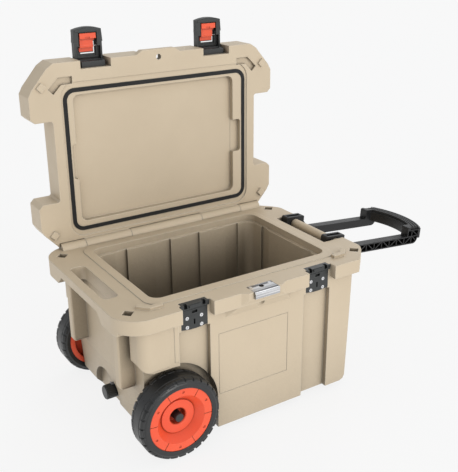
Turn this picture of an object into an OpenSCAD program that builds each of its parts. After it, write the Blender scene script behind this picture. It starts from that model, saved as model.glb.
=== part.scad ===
// Wheeled hard cooler: rotomoulded tub and lid, two latches, two wheels, fold-down towing handle.
// Millimetres, +Z up. Everything is drawn in tub axes (x along the tub, the wheels at -x; y = 0 on
// its centre plane; floor at z = 0) and then moved so that the rest bounding box sits on the origin.

/* [Tub] */
// Overall length of the rim, handle slot to handle bar
rim_len = 700; // [600:1:800]
// Overall depth of the rim, front to back
rim_wid = 477; // [400:1:560]
// Height of the rim top above the floor
rim_top = 360; // [320:1:420]
// Height of the rim band
rim_h = 34; // [24:1:44]
// Overhang of the rim past the front and back walls
rim_over = 20; // [12:1:24]
// Height of the underside of the tub
base_z = 16; // [12:1:30]
// Height of the inside floor
floor_z = 50; // [44:1:70]
// Height of the inside shelf over the axle
shelf_z = 132; // [124:1:160]

/* [Lid] */
// Thickness of the lid
lid_t = 74.6; // [60:0.1:90]
// Gap between the closed lid and the rim
lid_gap = 0.4; // [0.3:0.1:2]
// Half length of the lid between its ears
lid_hx = 290; // [270:1:300]
// Half length of the lid across its ears
ear_hx = 345; // [320:1:350]
// Half width of the gap between the ears
ear_gap = 102; // [101:1:120]

/* [Hinge] */
// Hinge line, y
hy = 226.5; // [220:0.5:232]
// Hinge line, z
hz = 358; // [350:1:365]
// Radius of the hinge knuckles
knuckle_r = 16; // [12:0.5:18]
// Radius of the steel hinge pin
pin_r = 4; // [3:0.1:6]

/* [Latches] */
// Distance of each latch from the centre plane
latch_x = 170.5; // [150:0.5:200]
// Length of a latch from its pin to its tip
latch_len = 82; // [70:1:100]
// Half width of a latch at its pin
latch_hw = 36; // [30:0.5:38]

/* [Wheels] */
// Tyre radius
wheel_r = 100; // [80:1:120]
// Wheel width
wheel_w = 58.5; // [50:0.5:65]
// Axle position along the tub
axle_x = -229; // [-250:1:-200]
// Distance from the centre plane to the outer face of a tyre
wheel_out = 254.5; // [245:0.5:265]
// Axle radius
axle_r = 8; // [6:0.5:10]
// Number of tread lugs on each shoulder
lugs = 28; // [20:4:48]

/* [Towing handle] */
// Pivot bar position along the tub
bar_x = 325; // [315:1:330]
// Pivot bar height
bar_z = 346; // [340:1:350]
// Pivot bar radius
bar_r = 13.5; // [10:0.5:15]
// Droop of the handle at rest, degrees
droop = 5; // [0:1:10]
// Distance from the pivot to the crown of the grip
reach = 341; // [300:1:342]
// Half width of the handle
arm_hy = 99; // [80:1:100]
// Width of one arm
arm_w = 25.5; // [18:0.5:30]

/* [Drain] */
// Height of the drain
drain_z = 60; // [56:1:66]
// Radius of the drain cap
cap_r = 18; // [14:0.5:22]

/* [Hidden] */
$fn = 48;
hw = rim_wid / 2;
hl = rim_len / 2;
face_y = hw - rim_over;
rim_bot = rim_top - rim_h;
rim_r = 68;
arch_r = wheel_r + 16;
lid_z0 = rim_top + lid_gap;
lid_z1 = lid_z0 + lid_t;
lid_back = hy - 2.5;
foot_x = 215;
foot_y = 150;
lock_y = -229;
lock_screw_x = 26;
lock_screw_y = -223;
pad_x = 313;
pad_y = 185;
pad_w = 17;
pocket_w = pad_w + 4;
lat_y = -hw + 10;
lat_z = rim_top + 45;
screw_x = 18.15;
screw_z = [303.3, 325.5];
button_s = 36;
button_t = 4.4;
wheel_in = wheel_out - wheel_w;
hub_y = wheel_out - 2;
arm_top = -18;
arm_bot = -41;
grip_top = 8;
crown_u = 142;
crown_r = reach - crown_u;
x_min = -hl;
x_max = bar_x + reach * cos(droop) + (grip_top - 6) * sin(droop);
y_min = -hw - 17.5;
y_max = hy + lid_z1 - hz;
shift = [-(x_min + x_max) / 2, -(y_min + y_max) / 2, 0];
tan_c = [0.78, 0.71, 0.59];
org_c = [0.95, 0.35, 0.2];
blk_c = [0.15, 0.15, 0.16];
met_c = [0.78, 0.79, 0.8];

// ---------- helpers ----------
module place() { translate(shift) children(); }
// lid drawn closed, then stood open at a right angle
module open_lid() { translate([0, hy, hz]) rotate([-90, 0, 0]) translate([0, -hy, -hz]) children(); }
// handle drawn with u outward along +x and v up from the pivot, then drooped
module on_bar() { translate([bar_x, 0, bar_z]) rotate([0, droop, 0]) children(); }
module box(x0, x1, y0, y1, z0, z1) { translate([x0, y0, z0]) cube([x1 - x0, y1 - y0, z1 - z0]); }
module cyl_x(r, x0, x1) { translate([x0, 0, 0]) rotate([0, 90, 0]) cylinder(r = r, h = x1 - x0); }
module cyl_y(r, y0, y1) { translate([0, y1, 0]) rotate([90, 0, 0]) cylinder(r = r, h = y1 - y0); }
module rsquare(x0, x1, y0, y1, r) {
  translate([x0 + r, y0]) square([x1 - x0 - 2 * r, y1 - y0]);
  translate([x0, y0 + r]) square([x1 - x0, y1 - y0 - 2 * r]);
  for (x = [x0 + r, x1 - r], y = [y0 + r, y1 - r]) translate([x, y]) circle(r = r);
}
module rbox(x0, x1, y0, y1, z0, z1, r) {
  translate([0, 0, z0]) linear_extrude(z1 - z0) rsquare(x0, x1, y0, y1, r);
}
module both_x() {
  children();
  mirror([1, 0, 0]) children();
}
module both_y() {
  children();
  mirror([0, 1, 0]) children();
}

// ---------- tub ----------
module rim_outline() {
  polygon([[-hl + rim_r, -hw], [286, -hw], [330, -194], [342, -176], [hl - 5, -166], [hl - 5, 166],
    [342, 176], [330, 194], [286, hw], [-hl + rim_r, hw], [-hl, hw - rim_r], [-hl, -hw + rim_r]]);
  for (y = [-hw + rim_r, hw - rim_r]) translate([-hl + rim_r, y]) circle(r = rim_r);
}
// side profile of the body below the rim, x against z
module body_side() {
  rotate([90, 0, 0]) translate([0, 0, -face_y - 5]) linear_extrude(2 * face_y + 10)
    polygon([[-340, rim_top], [-340, base_z + 120], [-284, base_z + 120], [-277, base_z + 18],
      [-275, base_z + 14], [-262, base_z], [258, base_z], [268, base_z + 4], [273, base_z + 14],
      [283, rim_top]]);
}
// corner columns over the wheels
module fender() {
  intersection() {
    translate([0, 0, 220]) linear_extrude(rim_bot - 219) difference() {
      rsquare(-306, -221, -face_y - 2.5, -152, 22);
      translate([-240, -160]) square([30, 20]);
    }
    // rounded lower outer corner
    rotate([90, 0, 0]) translate([0, 0, 100]) linear_extrude(140) {
      translate([-284, 222]) square([80, 120]);
      translate([-310, 244]) square([80, 100]);
      translate([-284, 244]) circle(r = 22);
    }
  }
  box(-222, -211, -face_y - 1, -face_y + 1, 226, rim_bot + 1);
}
// post under each end of the hand slot
module pillar() {
  rbox(-325, -270, -146, -122, 156, rim_bot + 1, 5);
  rbox(-321, -270, -143, -125, 150, 157, 5);
}
module body_block() {
  intersection() {
    body_side();
    union() {
      rbox(-286, 290, -face_y, face_y, base_z, rim_bot + 2, 13);
      both_y() {
        fender();
        pillar();
      }
    }
  }
}
module arch_cut() {
  translate([axle_x, 0, wheel_r]) cyl_y(arch_r, -face_y - 10, -188);
  box(-360, axle_x + arch_r, -face_y - 10, -188, -10, wheel_r);
  box(-360, axle_x, -face_y - 10, -188, -10, 216);
}
module tub_inside() {
  rbox(-180, 237, -152, 168, floor_z, rim_top + 30, 22);
  rbox(-233, 237, -152, 168, shelf_z, rim_top + 30, 22);
  rbox(-241, 245, -160, 176, rim_top - 17, rim_top + 30, 25);
  flutes();
}
// shallow tapered flutes between the wide panels of the inside walls
module flutes() {
  translate([0, 0, floor_z + 12]) linear_extrude(rim_top - floor_z - 29 + 0.5) {
    for (p = [[-179, -145], [-67, -17], [33, 72], [155, 197]]) {
      polygon([[p[0], 160], [p[0], 168], [p[1], 174.5], [p[1], 160]]);
      polygon([[p[0], -144], [p[0], -152], [p[1], -158.5], [p[1], -144]]);
    }
    polygon([[230, 75], [237, 75], [243.5, 112], [230, 112]]);
    polygon([[230, -72], [237, -72], [243.5, -108], [230, -108]]);
  }
}
module slot_left() { rbox(-330, -292, -100, 100, rim_bot - 20, rim_top + 1, 13); }
// arch-shaped recess round the drain, with a round seat behind its flange
module drain_arch() {
  translate([0, 42, 26]) cyl_x(71, -300, -262);
  box(-300, -262, -29, 113, 0, 26);
  translate([0, 0, drain_z]) cyl_x(25, -300, -262);
}
// L-shaped locating boss, grown by g for the hollow that takes it
module boss(g) {
  polygon([[236 - g, -202 - g], [268 + 0.4 * g, -202 - g], [292 + 1.4 * g, -178],
    [283, -169 + 1.5 * g], [263 - 0.4 * g, -189 + g], [236 - g, -189 + g]]);
}
// plan of the centre tab on the lid and of the block under it
module tab_plan(y1, x1) {
  polygon([[-61, -hw], [-46, -hw - 10], [46, -hw - 10], [61, -hw], [x1, y1], [-x1, y1]]);
}
// block under the lock plate, running back into the front wall as a wedge
module lock_block() {
  intersection() {
    translate([0, 0, 290]) linear_extrude(rim_top - 290) tab_plan(-face_y + 3, 95);
    translate([-100, 0, 0]) rotate([90, 0, 90]) linear_extrude(200)
      polygon([[-hw - 10, rim_top], [-hw - 10, rim_top - 17], [-face_y, 300], [-face_y + 3, 300],
        [-face_y + 3, rim_top]]);
  }
}
module tub_shell() place() color(tan_c) {
  difference() {
    union() {
      translate([0, 0, rim_bot]) linear_extrude(rim_h) rim_outline();
      body_block();
      // deeper skirts at the two rim corners by the wheels
      intersection() {
        translate([0, 0, rim_bot - 8]) linear_extrude(9) rim_outline();
        both_y() box(-360, -300, -196, -104, 300, 340);
      }
      // raised sealing bead and the two locating bosses
      rbox(-262, 262, -186, 198, rim_top - 2, rim_top + 1.8, 34);
      both_x() translate([0, 0, rim_top - 1]) linear_extrude(8) boss(0);
      // hinge knuckles
      for (x = [[-300, -236], [-107, 107], [236, 300]]) translate([0, hy, hz]) cyl_x(knuckle_r, x[0], x[1]);
      lock_block();
    }
    tub_inside();
    slot_left();
    // thinner edge in front of the hand slot
    translate([-360, 0, 0]) rotate([90, 0, 90]) linear_extrude(31)
      polygon([[-104, 340], [104, 340], [128, 316], [128, 300], [-128, 300], [-128, 316]]);
    // open slot behind the pivot bar
    box(283, 360, -104, 104, rim_bot - 40, rim_top + 10);
    // four corner pockets
    both_x() both_y() translate([pad_x, pad_y, rim_top - 14]) rotate([0, 0, 45])
      translate([-pocket_w / 2, -pocket_w / 2, 0]) cube([pocket_w, pocket_w, 20]);
    // latch notches in the rim, the channels below them and the keeper seats
    both_x() {
      box(131, 210, -hw - 5, -face_y, rim_bot - 10, rim_top + 10);
      box(131, 210, -face_y - 9, -face_y + 13, base_z - 5, 297);
      box(latch_x - 33.5, latch_x + 33.5, -face_y - 9, -face_y + 13, 290, rim_top + 10);
      for (x = [-screw_x, screw_x], z = screw_z)
        translate([latch_x + x, 0, z]) cyl_y(2.2, -face_y, -face_y + 26);
    }
    // engraved frame on the front panel
    difference() {
      box(-110, 85, -face_y - 1, -face_y + 0.7, 105, 265);
      box(-108, 83, -face_y - 2, -face_y + 2, 107, 263);
    }
    // lock plate seat, its screws and the padlock way
    box(-34, 34, -hw - 15, -216.5, rim_top - 3, rim_top + 10);
    translate([0, lock_y, 296]) cylinder(r = 7.5, h = 90);
    both_x() translate([lock_screw_x, lock_screw_y, rim_top - 20]) cylinder(r = 2, h = 18);
    // wheel arches, axle tunnel, drain
    both_y() arch_cut();
    translate([axle_x, 0, wheel_r]) cyl_y(axle_r, -200, 200);
    drain_arch();
    translate([0, 0, drain_z]) cyl_x(9, -270, -170);
    // room for the lid knuckles, and the pin bore
    for (x = [[-236, -107], [107, 236]]) {
      translate([0, hy, hz]) cyl_x(knuckle_r + 1, x[0], x[1]);
      box(x[0], x[1], hy, 260, hz, hz + 40);
    }
    translate([0, hy, hz]) cyl_x(pin_r, -296, 310);
    for (y = [-foot_y, foot_y]) translate([foot_x, y, base_z - 1]) cylinder(r = 2, h = 7);
  }
  // round towing bar across the open slot
  translate([bar_x, 0, bar_z]) cyl_y(bar_r, -106, 106);
}
module hinge_pin() place() color(met_c) translate([0, hy, hz]) cyl_x(pin_r, -296, 299);

module keeper(s) place() color(blk_c) translate([s * latch_x, 0, 0]) {
  difference() {
    union() {
      intersection() {
        box(-33, 33, -face_y, -face_y + 13, 297, rim_top);
        translate([0, 0, 452]) cyl_y(155, -face_y - 1, -face_y + 14);
      }
      box(-31, 31, -face_y - 1.5, -face_y + 1, 334, 346);
      // flange and striker
      box(-36, 36, -face_y - 3.5, -face_y, 348, rim_top);
      box(-15, 15, -face_y - 6.5, -face_y + 2, 352.5, 358.5);
    }
    for (x = [-screw_x, screw_x], z = screw_z) translate([x, 0, z]) {
      cyl_y(2.2, -face_y - 5, -face_y + 20);
      cyl_y(4.4, -face_y - 5, -face_y + 2.4);
    }
    box(-2.2, 2.2, -face_y - 1, -face_y + 5, 308, 321);
    box(-7, 7, -face_y - 3, -face_y + 4, 336.5, 343);
    both_x() box(19, 27, -face_y - 4, -face_y + 6, 351, rim_top + 1);
  }
}
module keeper_screws() place() color(met_c) both_x()
  for (x = [-screw_x, screw_x], z = screw_z) translate([latch_x + x, 0, z]) difference() {
    union() {
      cyl_y(4.4, -face_y + 0.1, -face_y + 2.4);
      cyl_y(2.2, -face_y + 1, -face_y + 26);
    }
    cyl_y(1.8, -face_y - 3, -face_y + 1.4);
  }
module lock_plate() place() color(met_c) difference() {
  union() {
    box(-33.5, 33.5, -256, -217, rim_top - 3, rim_top);
    rbox(-33.5, 33.5, -256, -253, rim_top - 15, rim_top - 3, 1.2);
    translate([0, -253, rim_top - 15]) cyl_x(1.5, -33.5, 33.5);
  }
  translate([0, lock_y, rim_top - 10]) cylinder(r = 6, h = 20);
  // rolled front edge
  difference() {
    box(-40, 40, -260, -252, rim_top - 4, rim_top + 1);
    translate([0, -252, rim_top - 4]) cyl_x(4, -50, 50);
  }
  both_x() translate([lock_screw_x, lock_screw_y, rim_top - 10]) {
    cylinder(r = 2, h = 20);
    translate([0, 0, 8.8]) cylinder(r = 4, h = 5);
  }
}
module lock_plate_screws() place() color(met_c) both_x() translate([lock_screw_x, lock_screw_y, 0]) {
  translate([0, 0, rim_top - 20]) cylinder(r = 2, h = 19.5);
  translate([0, 0, rim_top - 1.2]) cylinder(r = 4, h = 1.1);
}
module foot(s) place() color(blk_c) difference() {
  rbox(foot_x - 30, foot_x + 30, s * foot_y - 17, s * foot_y + 17, 0, base_z, 8);
  translate([foot_x, s * foot_y, -1]) cylinder(r = 5, h = 7);
  translate([foot_x, s * foot_y, -1]) cylinder(r = 2, h = 30);
}
module foot_screws() place() color(met_c) for (y = [-foot_y, foot_y]) translate([foot_x, y, 2]) {
  cylinder(r = 4, h = 4);
  translate([0, 0, 1]) cylinder(r = 2, h = base_z + 2.9);
}

// ---------- drain ----------
module drain_fitting() place() color(blk_c) translate([0, 0, drain_z]) difference() {
  union() {
    cyl_x(23, -268, -263.5);
    cyl_x(9, -268, -182);
    cyl_x(12, -280, -267);
  }
  cyl_x(6, -290, -180);
}
module drain_washer() place() color([0.5, 0.5, 0.52]) translate([0, 0, drain_z]) difference() {
  cyl_x(21, -263.5, -262);
  cyl_x(9, -264, -261);
}
module drain_tether() place() color([0.55, 0.56, 0.58]) translate([0, 0, drain_z]) difference() {
  union() {
    cyl_x(cap_r + 1, -273.5, -270.5);
    box(-286, -270.5, -4.5, 4.5, cap_r + 0.5, cap_r + 2.5);
    box(-273.5, -270.5, -4.5, 4.5, cap_r - 4, cap_r + 2.5);
    box(-286, -284, -4.5, 4.5, cap_r + 0.4, cap_r + 5);
  }
  cyl_x(cap_r - 2.6, -280, -269);
}
module drain_cap() place() color(blk_c) translate([0, 0, drain_z]) difference() {
  union() {
    cyl_x(cap_r - 1, -302, -274);
    cyl_x(cap_r - 3, -275, -268.5);
    cyl_x(cap_r - 2, -304, -301);
    for (a = [0:15:345]) rotate([a, 0, 0]) box(-302, -276, -1.2, 1.2, cap_r - 3, cap_r);
  }
  cyl_x(12.4, -281, -260);
}

// ---------- wheels ----------
// turned about the wheel axis, profile in radius against distance from the centre plane
module turned() { rotate([90, 0, 0]) mirror([0, 0, 1]) rotate_extrude() children(); }
module tyre(s) place() color(blk_c) wheel_side(s) difference() {
  union() {
    turned() polygon([[79, wheel_in + 3], [89, wheel_in], [95, wheel_in + 3], [99, wheel_in + 10],
      [99, wheel_in + 16], [wheel_r, wheel_in + 17], [wheel_r, wheel_out - 17], [99, wheel_out - 16],
      [99, wheel_out - 10], [95, wheel_out - 3], [89, wheel_out], [79, wheel_out - 1]]);
    // shallow shoulder lugs
    intersection() {
      for (i = [0:lugs - 1]) rotate([0, i * 360 / lugs, 0]) {
        box(-8, 8, wheel_out - 14.5, wheel_out - 1.5, -wheel_r - 2, -92);
        box(-8, 8, wheel_in + 1.5, wheel_in + 14.5, -wheel_r - 2, -92);
      }
      turned() polygon([[88, wheel_in + 1.5], [97, wheel_in + 1.5], [wheel_r, wheel_in + 8],
        [wheel_r, wheel_out - 8], [97, wheel_out - 1.5], [88, wheel_out - 1.5]]);
    }
  }
  turned() polygon([[60, 100], [79, 100], [79, 300], [60, 300]]);
}
module wheel_side(s) {
  translate([axle_x, 0, wheel_r]) {
    if (s < 0) mirror([0, 1, 0]) children();
    if (s > 0) children();
  }
}
module wheel_rim(s) place() color(org_c) wheel_side(s) difference() {
  turned() polygon([[12, wheel_in + 4], [34, wheel_in + 4], [34, wheel_in + 20], [66, wheel_in + 20],
    [66, wheel_in + 4], [79, wheel_in + 4], [79, hub_y - 1], [78, hub_y], [60, hub_y],
    [42, hub_y - 21], [41, hub_y - 17], [22, hub_y - 17], [20, hub_y - 19], [20, hub_y - 38],
    [12, hub_y - 38]]);
  // six moulding lines and six shallow dimples
  for (i = [0:5]) {
    rotate([0, i * 60 + 35, 0]) box(-0.9, 0.9, hub_y - 1.8, hub_y + 1, 59, 80);
    rotate([0, i * 60 + 35, 0]) translate([70, 0, 0]) cyl_y(3.4, hub_y - 1.8, hub_y + 1);
  }
}
module wheel_bush(s) place() color(blk_c) wheel_side(s)
  turned() polygon([[axle_r + 0.05, wheel_in + 1], [17, wheel_in + 1], [17, wheel_in + 4],
    [12, wheel_in + 4], [12, hub_y - 37], [axle_r + 0.05, hub_y - 37]]);
module axle() place() color(met_c) translate([axle_x, 0, wheel_r]) cyl_y(axle_r, -hub_y + 14, hub_y - 14);
module axle_cap(s) place() color(blk_c) wheel_side(s)
  turned() polygon([[0, hub_y - 14], [axle_r, hub_y - 14], [axle_r, hub_y - 34], [10.5, hub_y - 34],
    [10.5, hub_y - 10], [9.5, hub_y - 8.5], [0, hub_y - 8.5]]);

// ---------- lid, drawn closed ----------
module lid_outline(e) {
  polygon([[-278 + e, -hw + e], [278 - e, -hw + e], [296 - e, -227 + e], [336 - e, -180 + e],
    [ear_hx - e, -164], [ear_hx - e, -ear_gap - 10 - e], [ear_hx - 10 - e, -ear_gap - e],
    [lid_hx + 4 - e, -ear_gap - e], [lid_hx - e, -ear_gap + 4], [lid_hx - e, ear_gap - 4],
    [lid_hx + 4 - e, ear_gap + e], [ear_hx - 10 - e, ear_gap + e], [ear_hx - e, ear_gap + 10 + e],
    [ear_hx - e, 168 - e], [336 - e, 184 - e], [300 - e, lid_back - e], [-300 + e, lid_back - e],
    [-336 + e, 184 - e], [-ear_hx + e, 168 - e], [-ear_hx + e, ear_gap + 10 + e],
    [-ear_hx + 10 + e, ear_gap + e], [-lid_hx - 4 + e, ear_gap + e], [-lid_hx + e, ear_gap - 4],
    [-lid_hx + e, -ear_gap + 4], [-lid_hx - 4 + e, -ear_gap - e], [-ear_hx + 10 + e, -ear_gap - e],
    [-ear_hx + e, -ear_gap - 10 - e], [-ear_hx + e, -164], [-336 + e, -180 + e],
    [-296 + e, -227 + e]]);
}
module gasket_ring(x, y0, y1, z0, z1, g) {
  difference() {
    rbox(-x - g, x + g, y0 - g, y1 + g, z0, z1, 30 + g);
    rbox(-x + 10 + g, x - 10 - g, y0 + 10 + g, y1 - 10 - g, z0 - 1, z1 + 1, 20 - g);
  }
}
module lid_shell() place() open_lid() color(tan_c) difference() {
  union() {
    translate([0, 0, lid_z0]) linear_extrude(lid_t - 8) lid_outline(0);
    translate([0, 0, lid_z1 - 9]) linear_extrude(9) lid_outline(7);
    // centre tab, pads, knuckles
    translate([0, 0, lid_z0]) linear_extrude(17) tab_plan(-hw + 3, 61);
    both_x() both_y() translate([pad_x, pad_y, lid_z0 - 6]) rotate([0, 0, 45])
      translate([-pad_w / 2, -pad_w / 2, 0]) cube([pad_w, pad_w, 10]);
    for (x = [[-235, -108], [108, 235]]) translate([0, hy, hz]) cyl_x(knuckle_r, x[0], x[1]);
  }
  // step under the lid that clears the bead, gasket groove, inner recess
  rbox(-266, 266, -190, 202, lid_z0 - 1, rim_top + 3.2, 36);
  gasket_ring(260, -175.5, 188.5, rim_top + 1, rim_top + 8.2, 0);
  rbox(-235, 222, -158.5, 164.5, lid_z0 - 5, rim_top + 18, 16);
  both_x() rbox(200, 246, -38, 52, lid_z0 - 5, rim_top + 17, 8);
  both_x() translate([0, 0, lid_z0 - 1]) linear_extrude(10) boss(2.5);
  // shallow panel on the outside
  difference() {
    rbox(-225, 225, -160, 150, lid_z1 - 4, lid_z1 + 5, 30);
    for (y = [-100, -40, 20, 80]) rbox(-190, 190, y, y + 14, lid_z1 - 5, lid_z1, 6);
  }
  // latch pockets, padlock way, room for the tub knuckles, pin bore
  both_x() {
    box(131, 210, -hw - 5, -face_y, lid_z0 - 5, lid_z1 + 5);
    for (x = [-20, 20]) translate([latch_x + x, 0, lid_z0 + 56]) cyl_y(2.2, -face_y - 1, -face_y + 20);
  }
  box(-36, 36, -hw - 5, -200, lid_z0 + 17, lid_z1 + 5);
  translate([0, lock_y, lid_z0 - 5]) cylinder(r = 7, h = 40);
  for (x = [[-302, -235], [-108, 108], [235, 302]]) translate([0, hy, hz]) cyl_x(knuckle_r + 1, x[0], x[1]);
  translate([0, hy, hz]) cyl_x(pin_r + 0.05, -310, 310);
}
module lid_gasket() place() open_lid() color(blk_c)
  gasket_ring(260, -175.5, 188.5, rim_top + 2, rim_top + 8.2, 0);

// ---------- latches, drawn on the closed lid and standing straight out ----------
// s runs out from the pin, t away from the parting plane
module at_latch(s) { open_lid() translate([s * latch_x, lat_y, lat_z]) mirror([0, 1, 0]) children(); }
module latch_mount(s) place() at_latch(s) color(blk_c) difference() {
  union() {
    box(-30.5, 30.5, -10, -6, -31, 22);
    box(-30.5, 30.5, -10, 4, -31, -13);
    cyl_x(6.5, -30.5, 30.5);
    box(-30.5, 30.5, -8, 0, -5, 6.5);
  }
  cyl_x(3, -40, 40);
  for (x = [-20, 20]) translate([x, 0, 11.4]) cyl_y(2.2, -20, 10);
}
module latch_mount_screws() place() color(met_c) for (s = [-1, 1]) at_latch(s)
  for (x = [-20, 20]) translate([x, 0, 11.4]) { cyl_y(2.2, -28, -5); cyl_y(4, -6, -3.8); }
module latch_pin(s) place() at_latch(s) color(met_c) cyl_x(3, -36.5, 36.5);
module latch_body(s) place() at_latch(s) color(blk_c) difference() {
  union() {
    intersection() {
      union() {
        box(-latch_hw, latch_hw, 7.5, latch_len, 4.6, 10.5);
        box(-latch_hw, latch_hw, 36, latch_len, -6, 10.5);
      }
      translate([0, -30, -20]) cylinder(r = latch_len + 30, h = 60);
    }
    box(-latch_hw, latch_hw, -3, 9, 8, 10.5);
    both_x() {
      box(31.5, latch_hw, 0, 60, -6, 10.5);
      cyl_x(8, 31.5, latch_hw);
      box(31.5, latch_hw, -8, 8, 0, 6);
      // side wings
      translate([0, 0, -6]) linear_extrude(14) polygon([[34, 46], [38, 46], [36, 74], [33, 76]]);
    }
    // raised cap plate across the tip
    translate([0, 0, -7.4]) linear_extrude(3) polygon([[-34, 71], [34, 71], [32, 76], [0, 80], [-32, 76]]);
  }
  box(-24, 24, 12, 69, -20, 8);
  // thumb window and the open slot round the button
  box(-17, 12, 23, 34, 5, 20);
  box(-16, 21, 17, 20, 5, 20);
  box(18, 21, 17, 46, 5, 20);
  cyl_x(3.05, -50, 50);
  translate([0, button_s, button_t]) cyl_x(1.6, -28, 28);
}
module button_pin(s) place() at_latch(s) color(met_c)
  translate([0, button_s, button_t]) cyl_x(1.6, -27.5, 27.5);
module latch_button(s) place() at_latch(s) color(org_c) difference() {
  union() {
    box(-20, 16, 22, 34, 5.6, 7.2);
    box(-20, 16, 32, 50, 1.6, 6.6);
    box(-20, 20, 49, 67, 2.6, 5);
    // hook and its stiffening cheek
    box(-20, 22, 54, 67, -4.5, 5);
    box(-20, -17.5, 33, 53, -2.5, 4);
    translate([0, button_s, button_t]) cyl_x(3.1, -20, 16);
    // thumb pad
    box(-15.5, 10.5, 24.5, 32.5, 7, 9.8);
  }
  translate([0, button_s, button_t]) cyl_x(1.65, -30, 30);
  box(-6, 6, 53, 58, -6, -2);
}

// ---------- towing handle ----------
module arm_profile() {
  translate([22, arm_bot]) square([270, arm_top - arm_bot]);
  difference() {
    union() {
      translate([266, arm_bot]) square([44, grip_top - arm_bot - 4]);
      translate([270, arm_bot]) square([40, grip_top - arm_bot]);
      translate([270, grip_top - 4]) circle(r = 4);
    }
    difference() {
      translate([290, arm_bot - 1]) square([20, 17]);
      translate([290, arm_bot + 16]) circle(r = 16);
    }
  }
}
// one slanting rib of the lattice, rising for up = 1 and falling for up = -1
module brace(up) {
  half = (arm_top - arm_bot) / 2;
  translate([0, (arm_top + arm_bot) / 2])
    polygon([[0, -up * half], [3, -up * half], [29, up * (half - 2)], [29, up * half], [26, up * half]]);
}
// lattice ribs inside the open outer side of an arm
module lattice() {
  intersection() {
    arm_profile();
    union() {
      for (i = [0:9]) translate([30 + i * 28, arm_bot]) square([2.6, 44]);
      for (i = [0:9]) translate([30 + i * 28 + 1, 0]) brace(i % 2 == 0 ? 1 : -1);
      translate([262, arm_top - 2.6]) square([50, 2.6]);
      polygon([[270, grip_top], [273, grip_top], [308, arm_top], [308, arm_top - 3]]);
    }
  }
}
module inside_crown(r) {
  intersection() {
    children();
    union() {
      translate([crown_u, 0, -100]) cylinder(r = r, h = 200);
      box(-50, crown_u, -300, 300, -100, 100);
    }
  }
}
// open outer side of an arm
module arm_pocket() {
  translate([0, -arm_hy + arm_w - 6, 0]) rotate([90, 0, 0]) linear_extrude(arm_w) {
    translate([25, arm_bot + 3]) square([262, arm_top - arm_bot - 6]);
    translate([269, arm_bot + 17]) square([37, -2 - arm_bot - 17]);
    translate([269, arm_bot + 3]) square([21, 18]);
    intersection() {
      translate([288, arm_bot + 3]) square([15, 15]);
      translate([290, arm_bot + 16]) circle(r = 13);
    }
  }
}
module arm_side() {
  inside_crown(crown_r - 0.2) translate([0, -arm_hy + arm_w, 0]) rotate([90, 0, 0])
    linear_extrude(arm_w) arm_profile();
}
module grip_ring(r0, r1, z0, z1) {
  intersection() {
    translate([crown_u, 0, z0]) difference() {
      cylinder(r = r1, h = z1 - z0);
      translate([0, 0, -1]) cylinder(r = r0, h = z1 - z0 + 2);
    }
    box(240, 400, -arm_hy, arm_hy, -100, 100);
  }
}
module handle_arms() place() on_bar() color(blk_c) difference() {
  union() {
    difference() {
      union() {
        both_y() arm_side();
        grip_ring(crown_r - 38, crown_r, arm_top - 8, grip_top - 6);
      }
      both_y() arm_pocket();
    }
    both_y() inside_crown(crown_r - 1) translate([0, -arm_hy + arm_w - 6, 0]) rotate([90, 0, 0])
      linear_extrude(arm_w - 7) lattice();
  }
  grip_ring(crown_r - 33, crown_r - 5, grip_top - 8, grip_top + 5);
  both_y() for (u = [27, 38]) translate([u, -arm_hy + 12, arm_top - 10]) cylinder(r = 2, h = 20);
}
module handle_grip() place() on_bar() color([0.1, 0.1, 0.1]) difference() {
  intersection() {
    grip_ring(crown_r - 33, crown_r - 5, grip_top - 8, grip_top);
    box(200, 400, -arm_hy + 6, arm_hy - 6, -50, 50);
  }
  for (r = [11, 19, 27])
    grip_ring(crown_r - r - 1.5, crown_r - r + 1.5, grip_top - 2, grip_top + 5);
}
module clamp(s) place() on_bar() color(blk_c) on_side(s) difference() {
  union() {
    translate([0, -arm_hy + arm_w, 0]) rotate([90, 0, 0]) linear_extrude(arm_w) {
      circle(r = 20);
      rsquare(-29, 30, -8, 20, 6);
      rsquare(4, 30, -24, 20, 3);
      polygon([[18, arm_top], [46, arm_top], [46, arm_top + 4], [30, 4], [18, 4]]);
    }
  }
  // slot in the top
  box(-22, 22, -arm_hy + 7, -arm_hy + arm_w - 7, 15.5, 30);
  cyl_y(bar_r + 0.05, -200, 200);
  box(14, 60, -200, 0, -60, arm_top);
  translate([38, -arm_hy + 12, -30]) cylinder(r = 2, h = 60);
  translate([27, -arm_hy + 12, -30]) cylinder(r = 2, h = 30);
}
module on_side(s) {
  if (s < 0) children();
  if (s > 0) mirror([0, 1, 0]) children();
}
module clamp_screws() place() on_bar() color(met_c) both_y()
  translate([38, -arm_hy + 12, arm_top - 9]) cylinder(r = 2, h = 12);

tub_shell();
hinge_pin();
keeper(-1);  // keeper_left
keeper(1);  // keeper_right
keeper_screws();
lock_plate();
lock_plate_screws();
drain_fitting();
drain_washer();
drain_tether();
drain_cap();
axle();
axle_cap(-1);  // axle_cap_front
axle_cap(1);  // axle_cap_rear
foot(-1);  // foot_front
foot(1);  // foot_rear
foot_screws();
lid_shell();
lid_gasket();
latch_mount(-1);  // latch_mount_left
latch_mount(1);  // latch_mount_right
latch_mount_screws();
latch_pin(-1);  // latch_pin_left
latch_pin(1);  // latch_pin_right
latch_body(-1);  // latch_body_left
latch_body(1);  // latch_body_right
button_pin(-1);  // button_pin_left
button_pin(1);  // button_pin_right
latch_button(-1);  // latch_button_left
latch_button(1);  // latch_button_right
tyre(-1);  // tyre_front
tyre(1);  // tyre_rear
wheel_rim(-1);  // wheel_rim_front
wheel_rim(1);  // wheel_rim_rear
wheel_bush(-1);  // wheel_bush_front
wheel_bush(1);  // wheel_bush_rear
handle_arms();
handle_grip();
clamp(-1);  // clamp_front
clamp(1);  // clamp_rear
clamp_screws();
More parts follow.
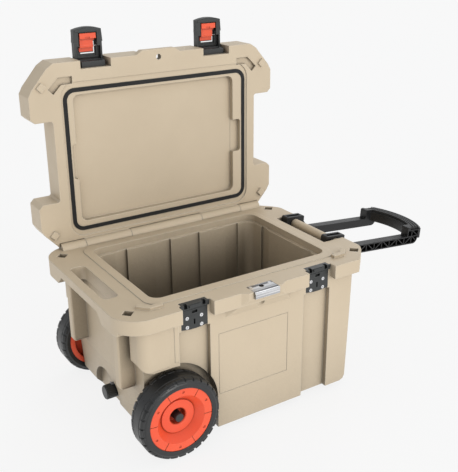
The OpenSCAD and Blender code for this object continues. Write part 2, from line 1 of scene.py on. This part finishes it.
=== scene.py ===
import math

import bmesh
import bpy
from mathutils import Matrix, Vector


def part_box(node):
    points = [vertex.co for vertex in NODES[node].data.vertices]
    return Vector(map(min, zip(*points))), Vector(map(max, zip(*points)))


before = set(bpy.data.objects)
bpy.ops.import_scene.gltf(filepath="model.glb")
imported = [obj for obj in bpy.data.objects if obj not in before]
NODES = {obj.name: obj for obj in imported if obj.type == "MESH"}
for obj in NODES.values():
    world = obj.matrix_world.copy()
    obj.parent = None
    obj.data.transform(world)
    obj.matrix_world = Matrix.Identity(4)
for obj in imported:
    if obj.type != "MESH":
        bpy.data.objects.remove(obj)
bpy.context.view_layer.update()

# the middle of the hinge pin in the tub's own axes, in metres
PIN_X, PIN_Y = 0.0015, 0.2265

# camera: its place is measured from the tub's own axes, in metres, and its angles are in degrees
EYE = Vector((-0.9227, -1.5414, 1.1227))
AZIMUTH, ELEVATION, ROLL = -32.49, 21.7, -0.42
SENSOR_MM, LENS_MM = 36.0, 59.6
LENS_SHIFT = (0.0006, -0.0028)
CLIP_NEAR, CLIP_FAR = 0.05, 60.0

# the soft room: dimmer at one end of this direction and brighter at the other
ROOM_COLOUR = (0.97, 0.985, 1.0, 1)
ROOM_DIRECTION = (0.55, -0.15, 0.35)
ROOM_REACH = 0.65
ROOM_DIM, ROOM_BRIGHT = 0.44, 0.84

# the floor is dark but glows nearly white, so that the shadows on it stay faint
FLOOR_HALF = 45.0
FLOOR_DROP = 0.0006
FLOOR_GREY = (0.12, 0.12, 0.12, 1)
FLOOR_GLOW = 0.84

# samples for the rounded edges and for the darker hollows
SOFT_SAMPLES = 6


def centre(name):
    """The middle of a CAD node's box."""
    lo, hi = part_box(name)
    return [(lo[i] + hi[i]) / 2 for i in range(3)]


def add_object(name, data):
    """A new object that holds this data, linked to the scene."""
    o = bpy.data.objects.new(name, data)
    bpy.context.collection.objects.link(o)
    return o


# ---------------------------------------------------------------- shader nodes
def add_node(tree, kind, inputs, **settings):
    """A new shader node. Each input is given a plain value or another node's output."""
    node = tree.nodes.new("ShaderNode" + kind)
    for name, value in settings.items():
        setattr(node, name, value)
    for name, value in inputs.items():
        if isinstance(value, bpy.types.NodeSocket):
            tree.links.new(value, node.inputs[name])
        else:
            node.inputs[name].default_value = value
    return node


def coordinates(tree, kind):
    """The texture coordinates of this kind."""
    return tree.nodes.new("ShaderNodeTexCoord").outputs[kind]


def noise(tree, coords, scale, detail, roughness=0.5):
    """Noise over these coordinates, about 0 to 1."""
    inputs = {"Vector": coords, "Scale": scale, "Detail": detail, "Roughness": roughness}
    return add_node(tree, "TexNoise", inputs).outputs["Fac"]


def remap(tree, value, source, target):
    """The value carried from the range source to the range target, and kept inside it."""
    inputs = {"Value": value, "From Min": source[0], "From Max": source[1],
              "To Min": target[0], "To Max": target[1]}
    return add_node(tree, "MapRange", inputs).outputs["Result"]


def dot_product(tree, a, b):
    """How far two directions agree."""
    return add_node(tree, "VectorMath", {0: a, 1: b}, operation="DOT_PRODUCT").outputs["Value"]


def mix(tree, factor, a, b, blend_type="MIX"):
    """Colour a with this much of colour b blended in."""
    inputs = {"Factor": factor, "A": a, "B": b}
    return add_node(tree, "Mix", inputs, data_type="RGBA", blend_type=blend_type).outputs["Result"]


def ramp(tree, value, low, high):
    """A colour between two stops, each a position and a colour."""
    node = add_node(tree, "ValToRGB", {"Fac": value})
    for stop, (position, colour) in zip(node.color_ramp.elements, (low, high)):
        stop.position = position
        stop.color = (*colour, 1)
    return node.outputs["Color"]


def stretched(tree, coords, scale):
    """The coordinates scaled differently along each axis."""
    return add_node(tree, "Mapping", {"Vector": coords, "Scale": scale}).outputs["Vector"]


def bump(tree, height, normal, strength, distance):
    """The normal tilted by this height pattern."""
    inputs = {"Height": height, "Normal": normal, "Strength": strength, "Distance": distance}
    return add_node(tree, "Bump", inputs).outputs["Normal"]


# ---------------------------------------------------------------- camera, light, floor
def make_camera():
    """The camera at its measured place, with its roll about the line of sight."""
    data = bpy.data.cameras.new("cam")
    data.sensor_fit = "AUTO"
    data.sensor_width = SENSOR_MM
    data.lens = LENS_MM
    data.clip_start, data.clip_end = CLIP_NEAR, CLIP_FAR
    data.shift_x, data.shift_y = LENS_SHIFT
    camera = add_object("cam", data)
    az, el, roll = math.radians(AZIMUTH), math.radians(ELEVATION), math.radians(ROLL)
    back = Vector((math.sin(az) * math.cos(el), -math.cos(az) * math.cos(el), math.sin(el)))
    level_right = (-back).cross(Vector((0, 0, 1))).normalized()
    level_up = level_right.cross(-back)
    right = level_right * math.cos(roll) + level_up * math.sin(roll)
    up = -level_right * math.sin(roll) + level_up * math.cos(roll)
    pin = centre("hinge_pin")
    place = Matrix((right, up, back)).transposed().to_4x4()
    place.translation = EYE + Vector((pin[0] - PIN_X, pin[1] - PIN_Y, 0.0))
    camera.matrix_world = place
    bpy.context.scene.camera = camera


def make_sun(name, toward, power, spread, color=(1, 1, 1)):
    """A sun that shines in the direction toward. Spread is its width in degrees."""
    data = bpy.data.lights.new(name, "SUN")
    data.energy = power
    data.angle = math.radians(spread)
    data.color = color
    add_object(name, data).rotation_euler = Vector(toward).to_track_quat("-Z", "Y").to_euler()


def make_world():
    """A soft room, brighter overhead and to the right and dimmer to the left."""
    world = bpy.data.worlds.new("studio")
    world.use_nodes = True
    tree = world.node_tree
    background = tree.nodes["Background"]
    along = dot_product(tree, coordinates(tree, "Generated"), ROOM_DIRECTION)
    strength = remap(tree, along, (-ROOM_REACH, ROOM_REACH), (ROOM_DIM, ROOM_BRIGHT))
    tree.links.new(strength, background.inputs["Strength"])
    background.inputs["Color"].default_value = ROOM_COLOUR
    scene = bpy.context.scene
    scene.world = world
    scene.view_settings.view_transform = "Standard"
    scene.view_settings.look = "None"
    scene.view_settings.exposure = 0.0
    scene.view_settings.gamma = 1.0


def floor_material():
    """Matt dark grey with a white glow."""
    material = bpy.data.materials.new("floor_white")
    material.use_nodes = True
    shader = material.node_tree.nodes["Principled BSDF"]
    shader.inputs["Base Color"].default_value = FLOOR_GREY
    shader.inputs["Roughness"].default_value = 1.0
    shader.inputs["Specular IOR Level"].default_value = 0.0
    shader.inputs["Emission Color"].default_value = (1, 1, 1, 1)
    shader.inputs["Emission Strength"].default_value = FLOOR_GLOW
    return material


def make_floor():
    """One large square just under the object."""
    square = bmesh.new()
    corners = [(-1, -1), (1, -1), (1, 1), (-1, 1)]
    square.faces.new([square.verts.new((x * FLOOR_HALF, y * FLOOR_HALF, 0)) for x, y in corners])
    mesh = bpy.data.meshes.new("floor")
    square.to_mesh(mesh)
    square.free()
    mesh.materials.append(floor_material())
    o = add_object("floor", mesh)
    o.location.z = -FLOOR_DROP


# ---------------------------------------------------------------- materials
def drifting_colour(tree, coords, base, dark, grain):
    """A slow drift between two near colours, with fine flecks of the darker one."""
    drift = noise(tree, coords, scale=6.0, detail=6.0, roughness=0.6)
    drifted = ramp(tree, drift, (0.3, dark), (0.7, base))
    flecks = noise(tree, coords, scale=grain * 0.35, detail=3.0)
    return mix(tree, remap(tree, flecks, (0.35, 0.75), (0.0, 0.35)), drifted, (*dark, 1))


def painted_edge_highlight(tree, colour, light, rounded, highlight_amount):
    """The colour with a painted highlight: lighter where the rounded normal leaves the face's own."""
    normal = tree.nodes.new("ShaderNodeNewGeometry").outputs["Normal"]
    agree = dot_product(tree, rounded, normal)
    return mix(tree, remap(tree, agree, (0.97, 0.80), (0.0, highlight_amount)), colour, (*light, 1))


def painted_hollow_shade(tree, colour, ao, ao_dist, ao_range):
    """The colour with painted shade: darker in hollows and seams, where less of the room reaches."""
    inputs = {"Distance": ao_dist}
    openness = add_node(tree, "AmbientOcclusion", inputs, samples=SOFT_SAMPLES).outputs["AO"]
    shade = remap(tree, openness, ao_range, (1.0 - ao, 1.0))
    return mix(tree, 1.0, colour, shade, "MULTIPLY")


def scuffed(tree, coords, rough, scuff):
    """A roughness that wanders, as handling leaves it."""
    spread = scuff * 0.4
    wander = noise(tree, coords, scale=28.0, detail=8.0, roughness=0.7)
    return remap(tree, wander, (0.3, 0.7), (max(0.02, rough - spread), min(1.0, rough + spread)))


def plastic(name, base, dark, light, rough, grain, edge, grain_depth=0.00006, wave=45.0,
            wave_depth=0.0002, scuff=0.25, spec=0.5, metal=0.0, ao=0.35, ao_dist=0.02,
            ao_range=(0.15, 0.95), highlight_amount=0.5, stretch=None):
    """A moulded surface: slow colour drift, fine orange peel, faint scuffs, rounded edges with a
    painted highlight along them, and painted shade in its hollows.

    Grain and wave are noise scales. Edge, the depths and ao_dist are in metres. Stretch draws the
    grain out into lines.
    """
    material = bpy.data.materials.new(name)
    material.use_nodes = True
    tree = material.node_tree
    shader = tree.nodes["Principled BSDF"]
    shader.inputs["Metallic"].default_value = metal
    shader.inputs["Specular IOR Level"].default_value = spec

    coords = coordinates(tree, "Object")
    rounded = add_node(tree, "Bevel", {"Radius": edge}, samples=SOFT_SAMPLES).outputs["Normal"]
    colour = drifting_colour(tree, coords, base, dark, grain)
    # paint a lighter highlight along the rounded edges, then paint shade into the hollows and seams
    colour = painted_edge_highlight(tree, colour, light, rounded, highlight_amount)
    colour = painted_hollow_shade(tree, colour, ao, ao_dist, ao_range)
    tree.links.new(colour, shader.inputs["Base Color"])
    tree.links.new(scuffed(tree, coords, rough, scuff), shader.inputs["Roughness"])

    waves = noise(tree, coords, scale=wave, detail=2.0)
    grain_coords = stretched(tree, coords, stretch) if stretch else coords
    peel = noise(tree, grain_coords, scale=grain, detail=2.0)
    wavy = bump(tree, waves, rounded, strength=0.5, distance=wave_depth)
    grained = bump(tree, peel, wavy, strength=0.6, distance=grain_depth)
    tree.links.new(grained, shader.inputs["Normal"])
    return material


def steel(name, base, rough, stretch=(1, 1, 40), edge=0.0006):
    """Brushed or polished metal with fine directional lines and soft smudges."""
    dark = tuple(c * 0.8 for c in base)
    # the lighter colour is painted along the edges as a highlight
    light = tuple(min(1, c * 1.15) for c in base)
    return plastic(name, base, dark, light, rough=rough, grain=500.0, grain_depth=0.00001,
                   wave_depth=0.00002, edge=edge, scuff=0.18, metal=1.0, stretch=stretch)


def chrome():
    """Polished plate: bright metal with hairline scratches, and long dark and light stripes along it
    that are painted into its colour as reflections.
    """
    material = steel("polished_plate", (0.9, 0.9, 0.91), 0.12, stretch=(2, 60, 60), edge=0.0012)
    tree = material.node_tree
    base_color = tree.nodes["Principled BSDF"].inputs["Base Color"]
    plain = base_color.links[0].from_socket
    # long dark and light stripes, painted into the colour as reflections
    coords = stretched(tree, coordinates(tree, "Object"), (3.0, 90.0, 90.0))
    reflection_noise = noise(tree, coords, scale=1.0, detail=2.0)
    painted_reflections = ramp(tree, reflection_noise, (0.36, (0.16, 0.16, 0.17)), (0.58, (1, 1, 1)))
    tree.links.new(mix(tree, 1.0, plain, painted_reflections, "MULTIPLY"), base_color)
    return material


def srgb(*channels):
    """A screen colour, 0 to 255 in each channel, as the linear colour that a shader takes."""
    parts = [c / 255 for c in channels]
    return tuple(c / 12.92 if c <= 0.04045 else ((c + 0.055) / 1.055) ** 2.4 for c in parts)


def make_materials():
    """Every material, by the name that PIECES uses."""
    made = {}
    # each plastic gets its own colour, a darker fleck colour, and a lighter colour that is painted on
    # its edges as a highlight; ao sets how much shade is painted into its hollows
    made["tan"] = plastic(
        "moulded_tan_pe", srgb(211, 194, 168), srgb(205, 188, 162), srgb(240, 229, 208),
        rough=0.46, grain=1100, grain_depth=0.00010, wave=30, wave_depth=0.0006, edge=0.0032,
        scuff=0.2, spec=0.42, ao=0.75, ao_dist=0.45, ao_range=(0.16, 0.6), highlight_amount=0.75)
    made["black"] = plastic(
        "glass_filled_black", srgb(52, 54, 54), srgb(43, 45, 45), srgb(104, 106, 106),
        rough=0.42, grain=1500, grain_depth=0.00007, wave_depth=0.00012, edge=0.0012,
        scuff=0.3, ao=0.6)
    made["arm"] = plastic(
        "black_nylon_arm", srgb(32, 32, 33), srgb(26, 26, 27), srgb(86, 87, 88),
        rough=0.4, grain=1400, grain_depth=0.00008, wave_depth=0.00015, edge=0.0011,
        scuff=0.3, spec=0.4, ao=0.6)
    made["orange"] = plastic(
        "satin_orange", srgb(250, 98, 60), srgb(243, 86, 50), srgb(255, 150, 116),
        rough=0.36, grain=1300, grain_depth=0.00004, wave_depth=0.00015, edge=0.0012,
        scuff=0.2, ao=0.5, ao_dist=0.03, highlight_amount=0.6)
    made["rubber"] = plastic(
        "soft_rubber", srgb(36, 36, 36), srgb(30, 30, 30), srgb(70, 70, 70),
        rough=0.6, grain=1000, grain_depth=0.00010, edge=0.0008, scuff=0.2, spec=0.3)
    made["grip"] = plastic(
        "grip_rubber", srgb(56, 56, 56), srgb(48, 48, 48), srgb(92, 92, 92),
        rough=0.5, grain=900, grain_depth=0.00012, edge=0.0010, spec=0.35)
    made["tyre"] = plastic(
        "tyre_rubber", srgb(41, 42, 43), srgb(32, 33, 34), srgb(104, 105, 106),
        rough=0.36, grain=700, grain_depth=0.00012, edge=0.0014, scuff=0.3, spec=0.55,
        ao=0.55, ao_dist=0.012)
    made["steel"] = steel("bright_zinc", (0.86, 0.86, 0.87), 0.22)
    made["chrome"] = chrome()
    made["grey"] = plastic(
        "grey_nylon", srgb(150, 152, 154), srgb(132, 134, 136), srgb(205, 207, 208),
        rough=0.35, grain=1200, edge=0.0006)
    return made


PIECES = {
    "tan": ["tub_shell", "lid_shell"],
    "rubber": ["lid_gasket", "foot_front", "foot_rear"],
    "grip": ["handle_grip"],
    "tyre": ["tyre_front", "tyre_rear"],
    "orange": ["wheel_rim_front", "wheel_rim_rear", "latch_button_left", "latch_button_right"],
    "chrome": ["lock_plate"],
    "steel": ["hinge_pin", "keeper_screws", "lock_plate_screws", "axle", "foot_screws",
              "latch_mount_screws", "latch_pin_left", "latch_pin_right", "button_pin_left",
              "button_pin_right", "clamp_screws"],
    "grey": ["drain_washer", "drain_tether"],
    "black": ["keeper_left", "keeper_right", "drain_fitting", "drain_cap", "axle_cap_front",
              "axle_cap_rear", "latch_mount_left", "latch_mount_right", "latch_body_left",
              "latch_body_right", "wheel_bush_front", "wheel_bush_rear"],
    "arm": ["handle_arms", "clamp_front", "clamp_rear"],
}

make_camera()
make_world()
make_floor()
make_sun("key", toward=(-0.20, 1.0, -0.24), power=0.94, spread=30, color=(1.0, 0.985, 0.96))
make_sun("sheen", toward=(-0.6, -0.55, -0.6), power=0.25, spread=20)

materials = make_materials()
for material_name, piece_names in PIECES.items():
    for piece_name in piece_names:
        slots = NODES[piece_name].data.materials
        slots.clear()
        slots.append(materials[material_name])
